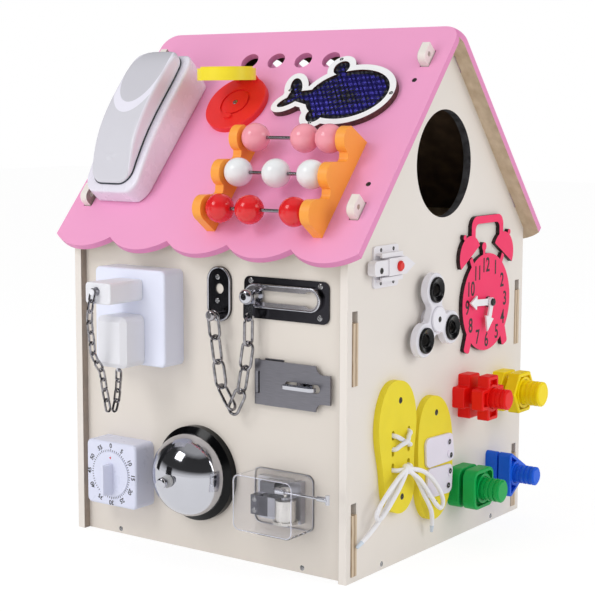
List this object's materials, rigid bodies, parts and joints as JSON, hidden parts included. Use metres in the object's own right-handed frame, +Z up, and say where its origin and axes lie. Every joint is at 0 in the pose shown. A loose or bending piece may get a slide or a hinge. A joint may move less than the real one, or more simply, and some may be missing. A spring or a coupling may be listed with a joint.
{
  "type": "wooden busy board house",
  "caption": "House-shaped wooden busy board with a pink scalloped roof, toy telephone, abacus beads, door chain, hasp, bell, timer, music box, clock, spinner, shoe lace and toy bolts.",
  "frame": {"origin": "middle of the house on the surface that it stands on", "axes": "+X right along the front panel towards the gable with the round window, +Y from the front panel to the rear panel, +Z up"},
  "size_m": [0.362, 0.3896, 0.4612],
  "materials": {
    "wood_cream": "satin",
    "roof_pink": "satin",
    "phone_plastic": "gloss",
    "phone_grey": "gloss",
    "lid_red": "gloss",
    "lid_yellow": "gloss",
    "bracket_orange": "satin",
    "rod_steel": "gloss",
    "bead_pink": "gloss",
    "bead_white": "gloss",
    "bead_red": "gloss",
    "whale_white": "satin",
    "sequins": "gloss",
    "socket_white": "satin",
    "chrome": "gloss",
    "hasp_steel": "satin",
    "timer_white": "gloss",
    "bell_black": "gloss",
    "clear": "gloss",
    "movement_metal": "satin",
    "latch_white": "satin",
    "spinner_white": "gloss",
    "clock_pink": "satin",
    "hand_white": "satin",
    "sole_yellow": "satin",
    "lace_white": "matte",
    "strap_yellow": "satin",
    "bolt_mixed": "satin",
    "nut_red": "satin",
    "nut_yellow": "satin",
    "nut_green": "satin",
    "nut_blue": "satin"
  },
  "bodies": {
    "house": {"gable_left": "wood_cream", "gable_right": "wood_cream", "front_panel": "wood_cream", "rear_panel": "wood_cream", "floor_board": "wood_cream", "roof_front": "roof_pink", "roof_rear": "roof_pink", "phone_base": "phone_plastic", "flip_lid_base": "lid_red", "abacus_brackets": "bracket_orange", "abacus_rods": "rod_steel", "whale_frame": "whale_white", "whale_sequins": "sequins", "socket_box": "socket_white", "chain_plates": "chrome", "hasp_leaf": "hasp_steel", "timer_case": "timer_white", "bell_base": "bell_black", "bell_dome": "chrome", "music_case": "clear", "music_movement": "movement_metal", "latch_plate": "latch_white", "spinner_hub": "spinner_white", "clock_face": "clock_pink", "shoe_soles": "sole_yellow", "shoe_lace": "lace_white", "shoe_straps": "strap_yellow", "toy_bolts": "bolt_mixed"},
    "handset": {"phone_handset": "phone_grey"},
    "lid": {"flip_lid_cover": "lid_yellow"},
    "bead_top_1": {"bead_top_1": "bead_pink"},
    "bead_top_2": {"bead_top_2": "bead_pink"},
    "bead_top_3": {"bead_top_3": "bead_pink"},
    "bead_middle_1": {"bead_middle_1": "bead_white"},
    "bead_middle_2": {"bead_middle_2": "bead_white"},
    "bead_middle_3": {"bead_middle_3": "bead_white"},
    "bead_bottom_1": {"bead_bottom_1": "bead_red"},
    "bead_bottom_2": {"bead_bottom_2": "bead_red"},
    "bead_bottom_3": {"bead_bottom_3": "bead_red"},
    "plug_upper": {"plug_upper": "socket_white"},
    "plug_lower": {"plug_lower": "socket_white", "plug_chain_lower": "chrome"},
    "plug_chain": {"plug_chain_upper": "chrome"},
    "slider": {"chain_slider": "chrome"},
    "left_strand": {"chain_strand_left": "chrome"},
    "right_strand": {"chain_strand_right": "chrome"},
    "strap": {"hasp_strap": "hasp_steel"},
    "staple": {"hasp_staple": "hasp_steel"},
    "dial": {"timer_dial": "timer_white"},
    "button": {"bell_button": "chrome"},
    "crank": {"music_crank": "movement_metal"},
    "drum": {"music_drum": "movement_metal"},
    "bolt": {"latch_bolt": "latch_white"},
    "spinner": {"spinner_rotor": "spinner_white"},
    "hour_hand": {"clock_hour_hand": "hand_white"},
    "minute_hand": {"clock_minute_hand": "hand_white"},
    "nut_red": {"nut_red": "nut_red"},
    "nut_yellow": {"nut_yellow": "nut_yellow"},
    "nut_green": {"nut_green": "nut_green"},
    "nut_blue": {"nut_blue": "nut_blue"}
  },
  "joints": [
    {"name": "handset_lift", "type": "slide", "parent": "house", "child": "handset", "axis": [0, -0.7547, 0.6561], "range_m": [0, 0.08]},
    {"name": "lid_turn", "type": "hinge", "parent": "house", "child": "lid", "pos_m": [-0.0315, -0.04865, 0.41806], "axis": [-1, 0, 0], "range_deg": [-48, 72]},
    {"name": "bead_top_1_slide", "type": "slide", "parent": "house", "child": "bead_top_1", "axis": [1, 0, 0], "range_m": [-0.0002, 0.0273]},
    {"name": "bead_top_2_slide", "type": "slide", "parent": "house", "child": "bead_top_2", "axis": [1, 0, 0], "range_m": [-0.0273, 0.0009]},
    {"name": "bead_top_3_slide", "type": "slide", "parent": "house", "child": "bead_top_3", "axis": [1, 0, 0], "range_m": [-0.0009, 0.0004]},
    {"name": "bead_middle_1_slide", "type": "slide", "parent": "house", "child": "bead_middle_1", "axis": [1, 0, 0], "range_m": [-0.0005, 0.0154]},
    {"name": "bead_middle_2_slide", "type": "slide", "parent": "house", "child": "bead_middle_2", "axis": [1, 0, 0], "range_m": [-0.0154, 0.0117]},
    {"name": "bead_middle_3_slide", "type": "slide", "parent": "house", "child": "bead_middle_3", "axis": [1, 0, 0], "range_m": [-0.0117, 0.0012]},
    {"name": "bead_bottom_1_slide", "type": "slide", "parent": "house", "child": "bead_bottom_1", "axis": [1, 0, 0], "range_m": [-0.0002, 0.0069]},
    {"name": "bead_bottom_2_slide", "type": "slide", "parent": "house", "child": "bead_bottom_2", "axis": [1, 0, 0], "range_m": [-0.0069, 0.0211]},
    {"name": "bead_bottom_3_slide", "type": "slide", "parent": "house", "child": "bead_bottom_3", "axis": [1, 0, 0], "range_m": [-0.0211, 0.0006]},
    {"name": "plug_upper_pull", "type": "slide", "parent": "house", "child": "plug_upper", "axis": [0, -1, 0], "range_m": [0, 0.02]},
    {"name": "plug_lower_pull", "type": "slide", "parent": "house", "child": "plug_lower", "axis": [0, -1, 0], "range_m": [0, 0.02]},
    {"name": "plug_chain_swing", "type": "hinge", "parent": "plug_upper", "child": "plug_chain", "pos_m": [-0.068, -0.217, 0.2345], "axis": [-1, 0, 0], "range_deg": [0, 21]},
    {"name": "slider_run", "type": "slide", "parent": "house", "child": "slider", "axis": [1, 0, 0], "range_m": [0, 0.057]},
    {"name": "left_strand_swing", "type": "hinge", "parent": "house", "child": "left_strand", "pos_m": [0.0152, -0.1575, 0.2146], "axis": [0, -1, 0], "range_deg": [0, 21.5]},
    {"name": "right_strand_swing", "type": "hinge", "parent": "slider", "child": "right_strand", "pos_m": [0.0536, -0.1575, 0.21605], "axis": [0, 1, 0], "range_deg": [0, 23.5]},
    {"name": "strap_swing", "type": "hinge", "parent": "house", "child": "strap", "pos_m": [0.0558, -0.1481, 0.1605], "axis": [0, 0, 1], "range_deg": [-60, 0]},
    {"name": "staple_turn", "type": "hinge", "parent": "house", "child": "staple", "pos_m": [0.1038, -0.1509, 0.1605], "axis": [0, 1, 0], "range_deg": [0, 90]},
    {"name": "dial_turn", "type": "hinge", "parent": "house", "child": "dial", "pos_m": [-0.0925, -0.1708, 0.0622], "axis": [0, 1, 0], "range_deg": [0, 345]},
    {"name": "button_press", "type": "slide", "parent": "house", "child": "button", "axis": [0, 1, 0], "range_m": [0, 0.004], "stiffness_N_per_m": 300},
    {"name": "crank_turn", "type": "hinge", "parent": "house", "child": "crank", "pos_m": [0.1133, -0.1705, 0.075], "axis": [1, 0, 0], "continuous": true},
    {"name": "drum_turn", "type": "hinge", "parent": "house", "child": "drum", "pos_m": [0.0964, -0.1635, 0.058], "axis": [0, 0, 1], "continuous": true},
    {"name": "bolt_slide", "type": "slide", "parent": "house", "child": "bolt", "axis": [0, 1, 0], "range_m": [0, 0.012]},
    {"name": "spinner_spin", "type": "hinge", "parent": "house", "child": "spinner", "pos_m": [0.159, -0.029, 0.209], "axis": [1, 0, 0], "continuous": true},
    {"name": "hour_turn", "type": "hinge", "parent": "house", "child": "hour_hand", "pos_m": [0.1565, 0.0754, 0.213], "axis": [1, 0, 0], "continuous": true},
    {"name": "minute_turn", "type": "hinge", "parent": "house", "child": "minute_hand", "pos_m": [0.1586, 0.0754, 0.213], "axis": [1, 0, 0], "continuous": true},
    {"name": "nut_red_off", "type": "slide", "parent": "house", "child": "nut_red", "axis": [1, 0, 0], "range_m": [0, 0.03]},
    {"name": "nut_yellow_off", "type": "slide", "parent": "house", "child": "nut_yellow", "axis": [1, 0, 0], "range_m": [0, 0.033]},
    {"name": "nut_green_off", "type": "slide", "parent": "house", "child": "nut_green", "axis": [1, 0, 0], "range_m": [0, 0.034]},
    {"name": "nut_blue_off", "type": "slide", "parent": "house", "child": "nut_blue", "axis": [1, 0, 0], "range_m": [0, 0.036]}
  ],
  "couplings": [
    {"joint": "left_strand_swing", "follows": "slider_run", "rad_per_m": 6.4},
    {"joint": "right_strand_swing", "follows": "slider_run", "rad_per_m": 7},
    {"joint": "plug_chain_swing", "follows": "plug_lower_pull", "rad_per_m": 17.5},
    {"joint": "drum_turn", "follows": "crank_turn", "ratio": 0.05}
  ]
}
